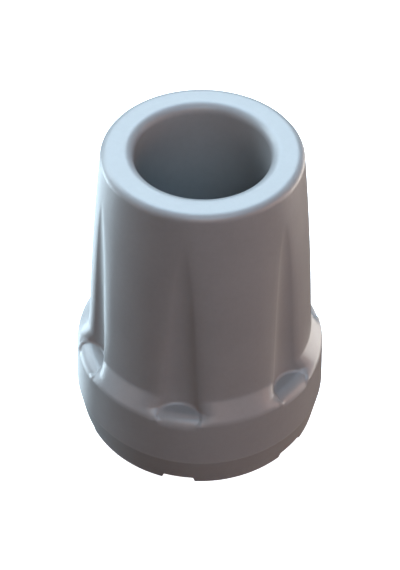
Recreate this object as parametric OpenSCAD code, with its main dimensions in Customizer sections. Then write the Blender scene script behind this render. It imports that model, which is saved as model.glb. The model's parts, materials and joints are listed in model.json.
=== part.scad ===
// Rubber cane tip: a foot moulded in one piece, which is pushed onto the end of a cane or crutch.
// The cane's own line is Z, and the socket opens upwards. The sole stands on Z = 0, and -Y is the front.

/* [Socket] */
// Diameter of the cane that the socket grips
socket_d = 22; // [16:0.5:28]
// Depth of the socket, from the rim to its floor
socket_depth = 46; // [36:1:60]
// Rounding of the socket's mouth
mouth_round = 1.6; // [0.5:0.1:2.2]
// Rounding in the corner round the socket's floor
socket_corner = 1.5; // [0.5:0.1:3]

/* [Neck] */
// Rubber wall round the socket at the rim
rim_wall = 5.25; // [4.5:0.05:7]
// Rubber wall round the socket at the foot of the neck
foot_wall = 8.7; // [8:0.1:11]
// How far the neck's side swells out from a straight taper
neck_swell = 0.3; // [0:0.05:1]
// Rounding of the rim's outer edge
rim_round = 1.3; // [0.5:0.1:2]

/* [Flange] */
// How far the flange stands out from the foot of the neck
flange_w = 2.3; // [1.5:0.1:4]
// Height of the flange's top edge above the ground
flange_h = 16.3; // [12:0.1:20]
// Rise of the sloping shoulder, from the flange's edge to the neck
shoulder_rise = 3.55; // [2:0.05:5]
// Rounding of the flange's top edge
flange_round = 2.4; // [0.5:0.1:3]
// Rounding in the corner between the shoulder and the neck
neck_corner = 1.6; // [0.3:0.1:2]

/* [Sole] */
// Thickness of solid rubber under the socket
sole_t = 12.5; // [10:0.5:18]
// Height of the parting line, where the foot is widest
parting_h = 6.7; // [4:0.1:9]
// Draft angle of the flange above the parting line
band_draft = 3; // [0.5:0.1:4]
// Draft angle of the foot below the parting line
foot_draft = 9; // [6:0.2:16]
// Rounding of the sole's outer edge
sole_round = 0.5; // [0.2:0.1:1]

/* [Flutes] */
// Number of flutes round the neck, each ending in a pocket in the shoulder
flute_count = 6; // [4:1:8]
// Angle of the first flute from the front
flute_turn = -9.5; // [-30:0.5:30]
// Depth of a flute at the foot of the neck
flute_depth = 1.9; // [1:0.1:3]
// Distance below the rim at which a flute has run out
flute_runout = 6.5; // [4:0.5:12]
// Radius of a flute's rounded root
flute_round = 4.4; // [2.5:0.1:5]
// Height of a pocket's floor above the ground, where it meets the flute's root
pocket_h = 16.9; // [13:0.1:17.2]
// Rounding in the corner round a pocket's floor
pocket_corner = 0.5; // [0.3:0.1:1.5]

/* [Tread] */
// Width of the channels that run across the sole in line with the flutes
channel_w = 5.7; // [3:0.1:8]
// Depth of those channels
channel_depth = 1.3; // [0.4:0.05:1.6]
// Number of ring grooves in the sole
ring_count = 3; // [1:1:3]
// Width of the rubber between the sole's edge and the outermost groove
ring_land = 3.4; // [2.5:0.1:4]
// Width of a ring groove
ring_w = 2; // [1:0.1:2.5]
// Spacing of the ring grooves
ring_pitch = 4.6; // [4:0.1:5]
// Depth of a ring groove
ring_depth = 1.8; // [1:0.1:2.2]

/* [Hidden] */

// Chords in a rounded corner, in the long curve of the neck, round the whole tip and round a flute
corner_steps = 6;
neck_steps = 10;
turn_steps = 80;
flute_steps = 60;
// How far a cutting shape runs past the rubber that it cuts
spare = 2;
// Draft on the sides of the tread's grooves
groove_draft = 12;
rubber_grey = [0.36, 0.34, 0.35];

socket_r = socket_d / 2;
height = sole_t + socket_depth;
rim_r = socket_r + rim_wall;
foot_r = socket_r + foot_wall;
foot_h = flange_h + shoulder_rise;
flange_r = foot_r + flange_w;
parting_r = flange_r + (flange_h - parting_h) * tan(band_draft);
sole_r = parting_r - parting_h * tan(foot_draft);

// A flute's root is a straight line, from the back of its pocket up to where the neck's side meets it
root_r = foot_r - flute_depth;
runout_h = height - flute_runout;
root_lean = atan((root_r - neck_radius(runout_h)) / (runout_h - pocket_h));

// Radius of the neck's side at height h
function neck_radius(h) =
    let (t = (h - foot_h) / (height - foot_h))
    foot_r + (rim_r - foot_r) * t + 4 * neck_swell * t * (1 - t);

function unit(v) = v / norm(v);

// The arc of radius r that rounds the corner b between the sides to a and c
function rounded(a, b, c, r) =
    let (
        to_a = unit(a - b),
        to_c = unit(c - b),
        half = acos(to_a * to_c) / 2,
        centre = b + unit(to_a + to_c) * r / sin(half),
        start = b + to_a * r / tan(half) - centre,
        turn = (180 - 2 * half) * sign(cross(to_c, to_a))
    )
    [for (i = [0:corner_steps])
        let (w = turn * i / corner_steps)
        centre + [start.x * cos(w) - start.y * sin(w), start.x * sin(w) + start.y * cos(w)]];

// An outline with every corner [x, y, rounding] of the list turned into its arc
function outline(corners) =
    let (last = len(corners) - 1)
    [for (i = [0:last])
        let (
            b = [corners[i].x, corners[i].y],
            a = corners[max(i - 1, 0)],
            c = corners[min(i + 1, last)]
        )
        each corners[i].z > 0 ? rounded([a.x, a.y], b, [c.x, c.y], corners[i].z) : [b]];

// Half of the tip's section: out along the sole, up the side, over the rim and down the socket
neck_side = [for (i = [1:neck_steps - 1])
    let (h = foot_h + (height - foot_h) * i / neck_steps)
    [neck_radius(h), h, 0]];

half_section = concat(
    [
        [0, 0, 0],
        [sole_r, 0, sole_round],
        [parting_r, parting_h, 0],
        [flange_r, flange_h, flange_round],
        [foot_r, foot_h, neck_corner]
    ],
    neck_side,
    [
        [rim_r, height, rim_round],
        [socket_r, height, mouth_round],
        [socket_r, sole_t, socket_corner],
        [0, sole_t, 0]
    ]
);

module turned_form() {
    rotate_extrude($fn = turn_steps)
        polygon(outline(half_section));
}

// What one flute takes away at the front: a round groove that leans in, above the flat floor of its pocket
module flute_cut() {
    length = height - pocket_h + spare;
    translate([0, -root_r, pocket_h])
        rotate([-root_lean, 0, 0])
            translate([0, -flute_round, 0])
                rotate_extrude($fn = flute_steps)
                    polygon(outline([
                        [0, 0, 0],
                        [flute_round, 0, pocket_corner],
                        [flute_round, length, 0],
                        [0, length, 0]
                    ]));
}

// A groove's section, open downwards at the sole: w wide at the sole, d deep
module groove_section(w, d) {
    side = d * tan(groove_draft);
    polygon([
        [-w / 2, -spare],
        [w / 2, -spare],
        [w / 2, 0],
        [w / 2 - side, d],
        [side - w / 2, d],
        [-w / 2, 0]
    ]);
}

// One channel of the tread at the front, from the innermost ring groove out past the sole's edge
module channel_cut() {
    inner_r = ring_middle(ring_count - 1);
    rotate([90, 0, 0])
        translate([0, 0, inner_r])
            linear_extrude(height = parting_r + spare - inner_r)
                groove_section(channel_w, channel_depth);
}

// Middle radius of ring groove i, counted from the outside
function ring_middle(i) = sole_r - ring_land - ring_w / 2 - i * ring_pitch;

module tread_cut() {
    for (i = [0:ring_count - 1])
        rotate_extrude($fn = turn_steps)
            translate([ring_middle(i), 0])
                groove_section(ring_w, ring_depth);
    for (i = [0:flute_count - 1])
        rotate([0, 0, flute_turn + i * 360 / flute_count])
            channel_cut();
}

module rubber_tip() {
    color(rubber_grey)
        difference() {
            turned_form();
            for (i = [0:flute_count - 1])
                rotate([0, 0, flute_turn + i * 360 / flute_count])
                    flute_cut();
            tread_cut();
        }
}

rubber_tip();
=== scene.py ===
# %% [markdown]
# # A moulded rubber cane tip
# The tip is one lump of grey rubber, pressed in a mould. It has a deep socket that grips the cane,
# a fluted neck, a wide flange and a grooved sole. The packed CAD model says where everything is.
# This script loads that model as a fixed frame and builds the tip again with the soft roundings,
# the mould marks and the satin skin of real rubber.

# %% Load the frame
import json
import math

import bpy
import numpy as np
from mathutils import Matrix, Vector


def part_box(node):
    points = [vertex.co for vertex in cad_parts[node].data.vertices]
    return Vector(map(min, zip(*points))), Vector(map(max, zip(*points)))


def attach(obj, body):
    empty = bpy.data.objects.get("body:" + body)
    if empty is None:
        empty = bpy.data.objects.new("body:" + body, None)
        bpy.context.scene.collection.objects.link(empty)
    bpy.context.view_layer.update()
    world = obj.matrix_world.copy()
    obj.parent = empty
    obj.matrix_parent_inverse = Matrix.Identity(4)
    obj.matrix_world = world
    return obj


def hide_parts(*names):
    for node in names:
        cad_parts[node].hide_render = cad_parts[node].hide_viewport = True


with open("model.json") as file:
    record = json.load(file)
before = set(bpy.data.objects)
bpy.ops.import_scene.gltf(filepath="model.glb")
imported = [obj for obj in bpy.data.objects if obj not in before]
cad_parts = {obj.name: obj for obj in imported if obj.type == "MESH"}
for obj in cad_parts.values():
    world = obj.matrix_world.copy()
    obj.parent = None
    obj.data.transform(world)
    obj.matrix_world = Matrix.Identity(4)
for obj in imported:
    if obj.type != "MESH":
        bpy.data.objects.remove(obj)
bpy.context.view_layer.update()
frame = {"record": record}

# %% [markdown]
# ## The camera
# The camera looks down at the tip at about 45 degrees, which shows the open socket and the front
# of the neck at once. A wide lens from close by would do that too, but it would make the foot look
# small, so this one is long. It looks at a point on the tip's axis, and leans a hair to one side.

# %% Place the camera
look_down = math.radians(45.5)
camera_distance = 0.248
camera_roll = math.radians(0.8)
aim = Vector((0, 0, 0.025))

camera_data = bpy.data.cameras.new("camera")
camera_data.lens = 89.2
camera_data.sensor_fit = "VERTICAL"
camera_data.sensor_height = 36
camera_data.shift_x = -0.001
camera_data.shift_y = 0.0215
camera_data.clip_start = 0.01
camera = bpy.data.objects.new("camera", camera_data)
bpy.context.scene.collection.objects.link(camera)

view_back = Vector((0, -math.cos(look_down), math.sin(look_down)))
tilt = Matrix.Rotation(math.pi / 2 - look_down, 4, "X")
roll = Matrix.Rotation(camera_roll, 4, "Z")
camera.matrix_world = Matrix.Translation(aim + camera_distance * view_back) @ tilt @ roll
bpy.context.scene.camera = camera
print("camera at", [round(c, 4) for c in camera.matrix_world.translation])

# %% [markdown]
# ## Writing a material like a sum
# A material is a net of nodes, which is hard to read when each node and each wire takes a line.
# Here a `Signal` stands for one value on its way through the net. Adding or multiplying signals
# adds the Math nodes behind the scenes, and `node` makes every other kind of node.

# %% Shader helper
class Signal:
    """One socket of a material. Sums and products with it add Math nodes."""

    def __init__(self, socket):
        self.socket = socket
        self.tree = socket.id_data

    def node(self, kind, settings=None, inputs=None):
        """Any other node: its settings first, then a value or a link for each socket named."""
        made = self.tree.nodes.new(kind)
        for name, value in (settings or {}).items():
            setattr(made, name, value)
        for name, value in (inputs or {}).items():
            if isinstance(value, Signal):
                self.tree.links.new(value.socket, made.inputs[name])
            else:
                made.inputs[name].default_value = value
        return made

    def math(self, operation, *values, clamped=False):
        settings = {"operation": operation, "use_clamp": clamped}
        return Signal(self.node("ShaderNodeMath", settings, dict(enumerate(values))).outputs[0])

    def __add__(self, other):
        return self.math("ADD", self, other)

    __radd__ = __add__

    def __mul__(self, other):
        return self.math("MULTIPLY", self, other)

    __rmul__ = __mul__

    def __sub__(self, other):
        return self.math("SUBTRACT", self, other)

    def __rsub__(self, other):
        return self.math("SUBTRACT", other, self)

    def distance_from(self, other):
        return self.math("ABSOLUTE", self - other)

    def limited(self):
        """The same value, kept between 0 and 1."""
        return self.math("ADD", self, 0, clamped=True)

    def noise(self, per_metre, detail):
        inputs = {"Vector": self, "Scale": per_metre, "Detail": detail}
        return Signal(self.node("ShaderNodeTexNoise", {}, inputs).outputs["Fac"])

    def blend(self, first, second):
        """A colour between two others, with this value as the share of the second."""
        mix = self.node("ShaderNodeMix", {"data_type": "RGBA"}, {0: self, 6: first, 7: second})
        return Signal(mix.outputs[2])

    def feed(self, socket):
        self.tree.links.new(self.socket, socket)


print("a Signal can do:", ", ".join(name for name in vars(Signal) if not name.startswith("_")))

# %% [markdown]
# ## The floor
# The tip stands on a light table, as small goods do for a catalogue: a pale sheet that glows so
# evenly that no shadow shows on it. A wide plane with a white glow does the same. The glow is kept
# for the camera alone, because a sheet that also lit the rubber would flatten its shadows, so the
# light that comes up from the table gets panels of its own. The sheet is clear from underneath,
# so that the tread can be looked at, and it lies a hair below the sole, because two faces in one
# plane flicker.

# %% Lay the floor
def light_table(half_width, drop):
    corners = [(-half_width, -half_width, -drop), (half_width, -half_width, -drop),
               (half_width, half_width, -drop), (-half_width, half_width, -drop)]
    sheet = bpy.data.meshes.new("floor")
    sheet.from_pydata(corners, [], [(0, 1, 2, 3)])
    floor = bpy.data.objects.new("floor", sheet)
    bpy.context.scene.collection.objects.link(floor)
    sheet.materials.append(white_glow())
    floor.visible_diffuse = False
    floor.visible_glossy = False
    floor.visible_shadow = False
    return floor


def white_glow():
    glow = bpy.data.materials.new("light_table")
    glow.use_nodes = True
    nodes = glow.node_tree.nodes
    shader = nodes["Principled BSDF"]
    shader.inputs["Base Color"].default_value = (0.8, 0.8, 0.8, 1)
    shader.inputs["Roughness"].default_value = 1
    shader.inputs["Specular IOR Level"].default_value = 0
    shader.inputs["Emission Color"].default_value = (1, 1, 1, 1)
    shader.inputs["Emission Strength"].default_value = 1
    white = Signal(shader.outputs[0])
    clear = Signal(white.node("ShaderNodeBsdfTransparent").outputs[0])
    from_below = Signal(white.node("ShaderNodeNewGeometry").outputs["Backfacing"])
    choice = white.node("ShaderNodeMixShader", {}, {0: from_below, 1: white, 2: clear})
    Signal(choice.outputs[0]).feed(nodes["Material Output"].inputs["Surface"])
    return glow


floor = light_table(half_width=6, drop=0.00005)
print("floor:", [round(side, 2) for side in floor.dimensions])

# %% [markdown]
# ## The light
# Satin rubber shows its form through soft, wide reflections, so every light is a large panel and
# none is a point. One even dome of light would be less work, but it would wash out the flutes.
# Each panel stands a metre away, and `azimuth` turns from the front towards the right.
#
# - `window` is the strongest and stands behind, so that its cool light glances off the rim and
#   the ridges. `window_high` is the sky above it, `window_left` its light from further left, and
#   `window_right` a faint reply from the right.
# - `table_left`, `table_back` and `table_low` are the light that a bright table throws up. They
#   stand below the sheet, which lets their light through because it casts no shadow.
# - `front_sky` and `front_white` fill the front from above, one cool and one warm.
# - The lamps are warm and weaker than the window. `lamp_front`, `lamp_right` and `lamp_left` stand
#   low round the front, and `lamp_above` shines straight down into the socket.

# %% Hang the soft panels
SKY = (0.4, 0.72, 1.0)
DAYLIGHT = (0.7, 0.88, 1.0)
WARM_WHITE = (1.0, 0.92, 0.84)
LAMP = (1.0, 0.6, 0.46)


def soft_panel(name, azimuth, elevation, width, height, watts, colour):
    turn, rise = math.radians(azimuth), math.radians(elevation)
    outward = Vector((math.cos(rise) * math.sin(turn), -math.cos(rise) * math.cos(turn), math.sin(rise)))
    light = bpy.data.lights.new(name, "AREA")
    light.shape = "RECTANGLE"
    light.size, light.size_y = width, height
    light.energy, light.color = watts, colour
    panel = bpy.data.objects.new(name, light)
    panel.location = outward + Vector((0, 0, 0.03))
    panel.rotation_euler = outward.to_track_quat("Z", "Y").to_euler()
    bpy.context.scene.collection.objects.link(panel)
    return panel


soft_panel("window", 195, 46, 1.0, 0.5, 16.5, DAYLIGHT)
soft_panel("window_high", 180, 68, 0.6, 0.4, 4.5, SKY)
soft_panel("window_left", 240, 28, 0.5, 0.5, 7.5, DAYLIGHT)
soft_panel("window_right", 115, 28, 0.5, 0.5, 0.5, WARM_WHITE)
soft_panel("table_left", 243, -15, 0.5, 0.5, 9, DAYLIGHT)
soft_panel("table_back", 118, -15, 0.9, 0.4, 7, WARM_WHITE)
soft_panel("table_low", 210, -40, 0.6, 0.4, 2.5, DAYLIGHT)
soft_panel("front_sky", 20, 54, 0.8, 0.4, 4.5, SKY)
soft_panel("front_white", 0, 44, 0.5, 0.4, 2, WARM_WHITE)
soft_panel("lamp_front", 10, 24, 0.8, 0.4, 2, LAMP)
soft_panel("lamp_right", 75, 8, 0.8, 0.4, 3.5, LAMP)
soft_panel("lamp_left", 300, 8, 0.4, 0.4, 0.8, LAMP)
soft_panel("lamp_above", 0, 90, 0.4, 0.4, 0.8, LAMP)

# %% [markdown]
# ## The backdrop
# A white world stands behind the floor's far edge. Like the table's glow it is for the camera
# alone: light from every side at once would wash out the flutes.

# %% Hang the backdrop
world = bpy.data.worlds.new("studio")
world.use_nodes = True
world.node_tree.nodes["Background"].inputs["Color"].default_value = (1, 1, 1, 1)
world.node_tree.nodes["Background"].inputs["Strength"].default_value = 1.0
world.cycles_visibility.diffuse = False
world.cycles_visibility.glossy = False
bpy.context.scene.world = world
bpy.context.scene.view_settings.view_transform = "Standard"
print("backdrop:", world.name)

# %% [markdown]
# ## Sizes
# Lengths are in millimetres while the rubber is shaped, and the mesh is scaled to metres at the
# end. Heights are above the ground, and every radius is from the cane's own line. The tip's height
# and the socket's radius are read from the CAD model, so those two can't drift apart from it. All
# other sizes are typed in again here, and have to be kept in step with the model by hand.

# %% Read and name the sizes
MM = 0.001
low, high = (np.array(corner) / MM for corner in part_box("rubber_tip"))
socket_mount = next(m for m in frame["record"]["mounts"] if m["name"] == "socket")

height = high[2] - low[2]
socket_r = socket_mount["dims"]["r_mm"]
sole_t = 12.5

rim_wall, foot_wall = 5.25, 8.7
rim_r = socket_r + rim_wall
foot_r = socket_r + foot_wall
neck_swell = 0.3

flange_w, flange_h, shoulder_rise = 2.3, 16.3, 3.55
flange_r = foot_r + flange_w
foot_h = flange_h + shoulder_rise
parting_h = 6.7
band_draft, foot_draft = 3, 9
parting_r = flange_r + (flange_h - parting_h) * math.tan(math.radians(band_draft))
sole_r = parting_r - parting_h * math.tan(math.radians(foot_draft))

flute_count, flute_turn = 6, -9.5
flute_r, flute_depth, flute_runout = 4.4, 1.9, 6.5
root_r = foot_r - flute_depth
pocket_h = 16.9
runout_h = height - flute_runout

channel_w, channel_depth = 5.7, 1.3
ring_count, ring_w, ring_depth = 3, 2, 1.8
ring_land, ring_pitch = 3.4, 4.6
ring_middles = [sole_r - ring_land - ring_w / 2 - ring_pitch * i for i in range(ring_count)]
groove_draft = 12
print(f"height {height:.2f}, socket {2 * socket_r:.1f}, widest {2 * parting_r:.2f} mm")

# %% [markdown]
# ## Faces that know their distance
# A mould maker thinks in faces and in the roundings between them. Bevel modifiers lose their way
# where flutes, shoulder and pockets all meet, so here a `Face` holds, for many points at once, how
# far each point lies outside the rubber and which way the face looks there. Two faces can then be
# joined with an edge or a corner of a true radius, whatever the angle between them.

# %% A face, and the ways to join two
class Face:
    """gap: distance outside the rubber, negative inside. way: unit direction the face looks in."""

    def __init__(self, gap, way):
        self.gap, self.way = gap, way

    def __neg__(self):
        return Face(-self.gap, -self.way)


def trim(solid, face, rounding):
    """The part of a solid that is also inside a face, with the edge between them rounded."""
    cosine = np.clip(np.sum(solid.way * face.way, axis=-1), -0.999999, 0.999999)
    a, b = solid.gap + rounding, face.gap + rounding
    share_a = (a - cosine * b) / (1 - cosine**2)
    share_b = (b - cosine * a) / (1 - cosine**2)
    arm = share_a[..., None] * solid.way + share_b[..., None] * face.way
    reach = np.sqrt(np.maximum(share_a * a + share_b * b, 1e-12))
    on_edge = (share_a > 0) & (share_b > 0)
    gap = np.where(on_edge, reach - rounding, np.maximum(solid.gap, face.gap))
    flat_way = np.where((solid.gap > face.gap)[..., None], solid.way, face.way)
    way = np.where(on_edge[..., None], arm / reach[..., None], flat_way)
    return Face(gap, way)


def join(solid, other, rounding):
    """Both solids together, with the corner between them filled to a radius."""
    return -trim(-solid, -other, rounding)


def carve(solid, cutter, rounding):
    """A solid with a cutter's shape taken out of it, and the new edge rounded."""
    return trim(solid, -cutter, rounding)


to_the_right = Face(np.zeros(1), np.array([[1.0, 0, 0]]))
upwards = Face(np.zeros(1), np.array([[0, 0, 1.0]]))
taken_off = trim(to_the_right, upwards, 1).gap[0]
print(f"a square edge rounded to 1 mm loses {taken_off:.3f} mm at its corner")


# %% [markdown]
# ## The turned form
# Neck, shoulder, flange and foot are all turned round the cane's line. A Screw modifier could turn
# their outline into a mesh, but the flutes still have to melt into it, so they stay faces until the
# end. Each needs only a point on its section and the direction it looks in. The points are given
# in the frame of one flute: `q` runs out along the flute's middle, `s` sideways and `z` up.

# %% Turned faces
def turned_face(points, at_r, at_h, out, up):
    """A cone, cylinder or flat face round the axis, through (at_r, at_h), looking (out, up)."""
    r = np.hypot(points[..., 0], points[..., 1])
    length = np.hypot(out, up)
    out, up = out / length, up / length
    gap = (r - at_r) * out + (points[..., 2] - at_h) * up
    round_axis = points[..., :2] / np.maximum(r, 1e-9)[..., None]
    up_column = np.broadcast_to(up, gap.shape)[..., None]
    return Face(gap, np.concatenate([round_axis * (out + 0 * gap)[..., None], up_column], axis=-1))


def neck_radius(h):
    t = (h - foot_h) / (height - foot_h)
    return foot_r + (rim_r - foot_r) * t + 4 * neck_swell * t * (1 - t)


def neck_face(points):
    """The neck's side, which swells out a little from a straight taper."""
    h = points[..., 2]
    slope = (neck_radius(h + 0.01) - neck_radius(h - 0.01)) / 0.02
    return turned_face(points, neck_radius(h), h, 1 + 0 * slope, -slope)


print(f"neck radius {neck_radius(foot_h):.2f} mm at its foot, {neck_radius(height):.2f} mm at the rim")


# %% [markdown]
# ## A flute and its pocket
# Each flute is a long round groove that leans in towards the top until it runs out below the rim.
# At its foot it ends on a flat floor: a pocket cut into the shoulder. A Boolean modifier could cut
# it with a cylinder, but would leave knife edges. As a face it can be carved with any rounding.

# %% The flute's cutter
root_lean = math.atan((root_r - neck_radius(runout_h)) / (runout_h - pocket_h))
pocket_round = 0.5


def flute_cutter(points):
    q, s, z = points[..., 0], points[..., 1], points[..., 2]
    lean_cos, lean_sin = math.cos(root_lean), math.sin(root_lean)
    inward = (q - root_r) * lean_cos + (z - pocket_h) * lean_sin - flute_r
    along = (z - pocket_h) * lean_cos - (q - root_r) * lean_sin
    from_axis = np.hypot(inward, s)
    way = np.stack([inward * lean_cos, s, inward * lean_sin], axis=-1)
    groove = Face(from_axis - flute_r, way / np.maximum(from_axis, 1e-9)[..., None])
    down = np.array([lean_sin, 0, -lean_cos])
    pocket_floor = Face(-along, np.broadcast_to(down, points.shape))
    return trim(groove, pocket_floor, pocket_round)


print(f"the root of a flute leans in by {math.degrees(root_lean):.2f} degrees")


# %% [markdown]
# ## The tread
# Three ring grooves and six channels give the sole its grip. They could be inset and pushed in by
# hand, but their crossings are easier to get right as cutters. Their sides have draft, so that the
# mould lets go of the rubber. A ring's two sides would only meet above its roof, and a channel
# starts inside the innermost ring, so those two corners can stay as good as sharp.

# %% The tread's cutters
draft_out = math.cos(math.radians(groove_draft))
draft_up = math.sin(math.radians(groove_draft))
nearly_sharp = 0.01
ring_roof_round, channel_roof_round = 0.35, 0.3


def ring_cutter(points, middle):
    outer = turned_face(points, middle + ring_w / 2, 0, draft_out, draft_up)
    inner = turned_face(points, middle - ring_w / 2, 0, -draft_out, draft_up)
    roof = turned_face(points, 0, ring_depth, 0, 1)
    return trim(trim(outer, inner, nearly_sharp), roof, ring_roof_round)


def channel_cutter(points):
    q, s, z = points[..., 0], points[..., 1], points[..., 2]
    side_gap = (np.abs(s) - channel_w / 2) * draft_out + z * draft_up
    side_way = np.stack([0 * s, np.sign(s) * draft_out, draft_up + 0 * s], axis=-1)
    roof = turned_face(points, 0, channel_depth, 0, 1)
    start = Face(ring_middles[-1] - q, np.broadcast_to(np.array([-1.0, 0, 0]), points.shape))
    channel = trim(Face(side_gap, side_way), roof, channel_roof_round)
    return trim(channel, start, nearly_sharp)


print("ring grooves at radius", [round(float(middle), 2) for middle in ring_middles], "mm")


# %% [markdown]
# ## The whole tip
# The faces are joined in the order in which a model maker would cut them. Each rounding is what
# the worn mould leaves: crisp at the sole, soft at the flange's edge, and softer still where a
# flute runs out of the neck, so that one grows with the height.
#
# Inside a pocket the sloping shoulder has to step aside. A last strip of it, between the pocket's
# floor and the band, would give the lip two small bends. Just below the floor it is moved outwards,
# and the floor runs on to the band over one soft lip. Towards the pocket's sides it fades back to
# its own place. A short crease is left at each end of the lip.

# %% Name the roundings
neck_corner, flange_round, parting_round = 1.6, 2.4, 0.15
rim_round, mouth_round, socket_corner = 1.3, 1.6, 1.5
sole_round, ring_lip, channel_lip = 0.5, 0.25, 0.3
side_heights = [17, 21, 27, 50]
side_rounds = [2.4, 2.6, 3.6, 4.6]

# How far the shoulder steps aside in a pocket, and over what height below the floor
aside_by, aside_drop = 3, 0.3
# Half the width over which it does so, and how much of that is the fade
aside_half_width, aside_fade = 4.3, 2.5
print("rounding beside a flute, mm at height:", dict(zip(side_heights, side_rounds)))


# %% The outer form
def sloping_shoulder(points):
    """The shoulder's slope, which steps aside below a pocket's floor."""
    slope = turned_face(points, flange_r, flange_h, foot_h - flange_h, flange_r - foot_r)
    across = np.clip((aside_half_width - np.abs(points[..., 1])) / aside_fade, 0, 1)
    below_floor = np.clip((pocket_h - points[..., 2]) / aside_drop, 0, 1)
    return Face(slope.gap - aside_by * (across * below_floor), slope.way)


def outer_form(points):
    """Neck, shoulder, flutes, band, foot and rim."""
    side_round = np.interp(points[..., 2], side_heights, side_rounds)
    band_tilt, foot_tilt = math.radians(band_draft), math.radians(foot_draft)
    band = turned_face(points, flange_r, flange_h, math.cos(band_tilt), math.sin(band_tilt))
    foot = turned_face(points, parting_r, parting_h, math.cos(foot_tilt), -math.sin(foot_tilt))
    solid = join(neck_face(points), sloping_shoulder(points), neck_corner)
    solid = carve(solid, flute_cutter(points), side_round)
    solid = trim(solid, band, flange_round)
    solid = trim(solid, foot, parting_round)
    return trim(solid, turned_face(points, 0, height, 0, 1), rim_round)


in_a_flute = np.array([[root_r + 1, 0, pocket_h + 2]])
print("rubber just outside the root of a flute:", bool(outer_form(in_a_flute).gap[0] < 0))


# %% All faces together
def with_tread(solid, points):
    """A solid that ends on the sole, with the grooves cut into it."""
    solid = trim(solid, turned_face(points, 0, 0, 0, -1), sole_round)
    for middle in ring_middles:
        solid = carve(solid, ring_cutter(points, middle), ring_lip)
    return carve(solid, channel_cutter(points), channel_lip)


def socket_cutter(points):
    bore = turned_face(points, socket_r, 0, 1, 0)
    socket_floor = turned_face(points, 0, sole_t, 0, -1)
    return trim(bore, socket_floor, socket_corner)


def rubber(points):
    return carve(with_tread(outer_form(points), points), socket_cutter(points), mouth_round)


in_the_sole, in_the_socket = (0, 0, sole_t / 2), (0, 0, height / 2)
depths = rubber(np.array([in_the_sole, in_the_socket], float)).gap
print("rubber in the sole, rubber in the socket:", [bool(depth < 0) for depth in depths])

# %% [markdown]
# ## Rows of probes
# To turn the faces into a mesh, straight probes are sent out from points in the middle of the
# rubber, and each one stops where it leaves the rubber. A voxel remesh would need no plan, but it
# would blur the small roundings. Rows that follow the form keep them with fewer faces. They run
# along the tip's section: out along the sole, up the side, over the rim, down the socket and in to
# the middle of its floor. Each probe is a radius and a height to start from, and an angle.

# %% Lay out the rows
def stretch(begin, end, steps):
    """Probes from one (r, z, angle) to the next, the last one left out."""
    share = np.arange(steps)[:, None] / steps
    return np.array(begin, float) * (1 - share) + np.array(end, float) * share


ring_steps = np.array([-1.4, -1.2, -1.05, -0.95, -0.85, -0.75, -0.65, -0.5, 0,
                       0.5, 0.65, 0.75, 0.85, 0.95, 1.05, 1.2, 1.4])
sole_r_steps = np.concatenate([[0.4, 2.2, 4.2], *[m + ring_steps for m in ring_middles[::-1]],
                               [18.6, 18.8]])
sole_start_h = 5
DOWN, OUT, STEEP, UP, INWARD = -90, 0, 56, 90, 180
sole_rows = np.stack([sole_r_steps, 0 * sole_r_steps + sole_start_h, 0 * sole_r_steps + DOWN], axis=1)

in_foot, in_flange, in_neck, in_rim = (19, 4), (14.5, 12.5), (14, 35), (13.8, 54.5)
in_wall, below_corner, near_axis = (13, 14.5), (9.3, 10.3), (0.4, 10.3)
rows = np.concatenate([
    sole_rows,
    stretch((*in_foot, DOWN), (*in_foot, OUT), 44),
    stretch((*in_foot, OUT), (*in_flange, OUT), 30),
    stretch((*in_flange, OUT), (*in_flange, STEEP), 56),
    stretch((*in_flange, STEEP), (*in_neck, OUT), 26),
    stretch((*in_neck, OUT), (*in_rim, OUT), 16),
    stretch((*in_rim, OUT), (*in_rim, INWARD), 40),
    stretch((*in_rim, INWARD), (*in_wall, INWARD), 16),
    stretch((*in_wall, INWARD), (*below_corner, UP), 10),
    stretch((*below_corner, UP), (*near_axis, UP), 6),
])
print("rows of probes:", len(rows))

# %% [markdown]
# ## Columns
# The probes of one row stand side by side across one sixth of the tip. Even steps would be simpler,
# but they would spend faces on the plain neck. So the columns crowd together at the edge of the
# flute, or of the channel under the sole, and each rounding gets several faces of the mesh. From
# the sole up the side, the crowd moves over from the one edge to the other.

# %% Find the surface along the probes
def probe(rows, turn, reach=14.0, rounds=26):
    """Where probes at the given turns (degrees from the flute's middle) leave the rubber."""
    angle = np.radians(rows[:, 2])[:, None]
    turn = np.radians(turn)

    def point(distance):
        r = rows[:, 0][:, None] + distance * np.cos(angle)
        z = rows[:, 1][:, None] + distance * np.sin(angle)
        return np.stack([r * np.cos(turn), r * np.sin(turn), z + 0 * turn], axis=-1)

    near = np.zeros(turn.shape)
    far = np.full(turn.shape, reach)
    for _ in range(rounds):
        middle = (near + far) / 2
        inside = rubber(point(middle)).gap < 0
        near, far = np.where(inside, middle, near), np.where(inside, far, middle)
    return point(near)


half_sector = 180 / flute_count
ridge_hits = probe(rows, np.full((len(rows), 1), half_sector))[:, 0]
ridge_r, ridge_h = np.hypot(ridge_hits[:, 0], ridge_hits[:, 1]), ridge_hits[:, 2]
print(f"between two flutes: radius up to {ridge_r.max():.2f} mm, height up to {ridge_h.max():.2f} mm")

# %% Crowd the columns at the edges
def flute_edge(r, h):
    """Half the angle that a flute takes up at radius r and height h, in degrees."""
    axis_r = root_r - (h - pocket_h) * math.tan(root_lean) + flute_r
    cosine = (r**2 + axis_r**2 - flute_r**2) / (2 * r * axis_r)
    return np.degrees(np.arccos(np.clip(cosine, -1, 1)))


def channel_edge(r):
    return np.degrees(np.arcsin(np.clip(channel_w / 2 / np.maximum(r, ring_middles[-1]), 0, 1)))


# Heights and the radius are in millimetres, edges and crowds in degrees
change_from_h, change_over = 2, 10
least_r, least_edge, socket_edge = 15, 4, 11
widest_crowd, crowd_share = 2.3, 0.55

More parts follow.
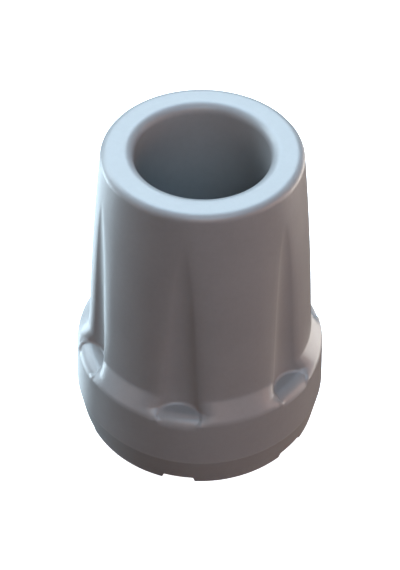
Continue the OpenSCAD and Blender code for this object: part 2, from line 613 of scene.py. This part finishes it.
on_side = np.clip((ridge_h - change_from_h) / change_over, 0, 1)
edge_on_side = flute_edge(np.maximum(ridge_r, least_r), ridge_h)
edge = channel_edge(ridge_r) * (1 - on_side) + edge_on_side * on_side
in_socket = np.arange(len(rows)) > np.argmax(ridge_h)
edge = np.where(in_socket, socket_edge, np.maximum(edge, least_edge))
crowd = np.minimum(widest_crowd, edge * crowd_share)

# u counts along the sixth: -3 and 3 are its ends, and its crowds lie from 1 to 2 on either side
half_steps = [8, 12, 6]
u = np.concatenate([i + np.arange(n) / n for i, n in enumerate(half_steps)])
u = np.concatenate([-3 + 0 * u[:1], -u[:0:-1], u])
turns = np.array([np.interp(u, [-3, -2, -1, 0, 1, 2, 3],
                            [-half_sector, -e - c, -e + c, 0, e - c, e + c, half_sector])
                  for e, c in zip(edge, crowd)])
sector = probe(rows, turns)
print("points in one sixth:", sector.shape[:2])

# %% [markdown]
# ## The mesh
# One sixth of the tip is turned six times, and the rows and columns are stitched into quads. An
# Array modifier could repeat the sixth, but its seams would have to be merged again. Here they
# are never open. A fan of triangles closes the sole and the socket's floor in the middle.

# %% Stitch the mesh
def turn_to_place(points, index):
    """From the frame of a flute to the tip's own axes, in metres."""
    angle = math.radians(flute_turn + 360 / flute_count * index)
    q, s, z = points[..., 0], points[..., 1], points[..., 2]
    x = q * math.sin(angle) + s * math.cos(angle)
    y = -q * math.cos(angle) + s * math.sin(angle)
    return np.stack([x, y, z], axis=-1) * MM


skin = np.concatenate([turn_to_place(sector, i) for i in range(flute_count)], axis=1)
row_count, column_count = skin.shape[:2]
poles = np.array([(0, 0, 0), (0, 0, sole_t * MM)])
vertices = np.concatenate([skin.reshape(-1, 3), poles])

number = np.arange(row_count * column_count).reshape(row_count, column_count)
beside = np.roll(number, -1, axis=1)
quads = np.stack([number[:-1], beside[:-1], beside[1:], number[1:]], axis=-1).reshape(-1, 4)
sole_pole, socket_pole = len(vertices) - 2, len(vertices) - 1
sole_fan = [(sole_pole, b, a) for a, b in zip(number[0], beside[0])]
socket_fan = [(a, b, socket_pole) for a, b in zip(number[-1], beside[-1])]

mesh = bpy.data.meshes.new("moulded_tip")
mesh.from_pydata(vertices.tolist(), [], quads.tolist() + sole_fan + socket_fan)
mesh.shade_smooth()
tip = bpy.data.objects.new("moulded_tip", mesh)
bpy.context.scene.collection.objects.link(tip)
print("faces:", len(mesh.polygons))

# %% [markdown]
# ## The rubber
# Grey rubber is filled with chalk and silica, and its colour clouds a little where the batch was
# kneaded less. Its skin is a print of the mould: satin where the steel was polished, and grainy
# below the parting line, where the steel is blasted so that the foot comes out easily. At the
# parting line itself, where the two halves of the mould met, the skin is rougher, and a thin band
# of paler colour along it is a painted highlight: the glint of light on that edge. The sole's edge
# is dulled by dust. A picture wrapped round the tip could show all this, but noise that knows the
# height above the ground needs no unwrapping and has no seams.

# %% Mix the rubber
parting_sharpness, blast_sharpness = 3.5, 5
dust_h, dust_sharpness = 0.7, 1.6
RUBBER_DARK = (0.195, 0.19, 0.192, 1)
RUBBER_PALE = (0.262, 0.256, 0.258, 1)
# The pale tone for the parting line is a painted highlight, standing for light glinting on its edge.
PARTING_HIGHLIGHT = (0.36, 0.355, 0.35, 1)
DUST = (0.33, 0.32, 0.3, 1)


def moulded_rubber():
    material = bpy.data.materials.new("moulded_rubber")
    material.use_nodes = True
    shader = material.node_tree.nodes["Principled BSDF"]
    start = Signal(shader.inputs["Normal"])
    where = Signal(start.node("ShaderNodeTexCoord").outputs["Object"])
    above_ground = Signal(start.node("ShaderNodeSeparateXYZ", {}, {"Vector": where}).outputs["Z"]) * (1 / MM)

    clouds = where.noise(per_metre=140, detail=4)
    flow = where.noise(per_metre=45, detail=2)
    specks = where.noise(per_metre=1100, detail=2)
    grain = where.noise(per_metre=2600, detail=3)
    # The mask on the parting line paints a highlight into the colour and roughens the real ridge in the
    # bump.
    parting_ridge_and_highlight = (1 - above_ground.distance_from(parting_h) * parting_sharpness).limited()
    blasted = ((parting_h - above_ground) * blast_sharpness).limited()
    dusty = ((dust_h - above_ground) * dust_sharpness).limited() * clouds

    rubber_tone = (clouds * 0.5 + flow * 0.2 + specks * 0.3).blend(RUBBER_DARK, RUBBER_PALE)
    # Along the parting line the colour is lightened by the painted highlight.
    tone_with_parting_highlight = (parting_ridge_and_highlight * 0.3).blend(rubber_tone, PARTING_HIGHLIGHT)
    (dusty * 0.5).blend(tone_with_parting_highlight, DUST).feed(shader.inputs["Base Color"])
    (0.35 + clouds * 0.07 + blasted * 0.1 + dusty * 0.15).feed(shader.inputs["Roughness"])
    shader.inputs["Specular IOR Level"].default_value = 0.5

    relief = grain * (1 + blasted) + specks * 0.5 + parting_ridge_and_highlight * grain * 2
    bump = start.node("ShaderNodeBump", {}, {"Height": relief, "Strength": 0.5, "Distance": 0.02 * MM})
    Signal(bump.outputs[0]).feed(shader.inputs["Normal"])
    return material


mesh.materials.append(moulded_rubber())
print("rubber nodes:", len(bpy.data.materials["moulded_rubber"].node_tree.nodes))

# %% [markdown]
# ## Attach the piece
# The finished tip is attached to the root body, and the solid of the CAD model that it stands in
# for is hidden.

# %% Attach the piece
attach(tip, "root")
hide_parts("rubber_tip")
print("attached:", tip.name)

# %% [markdown]
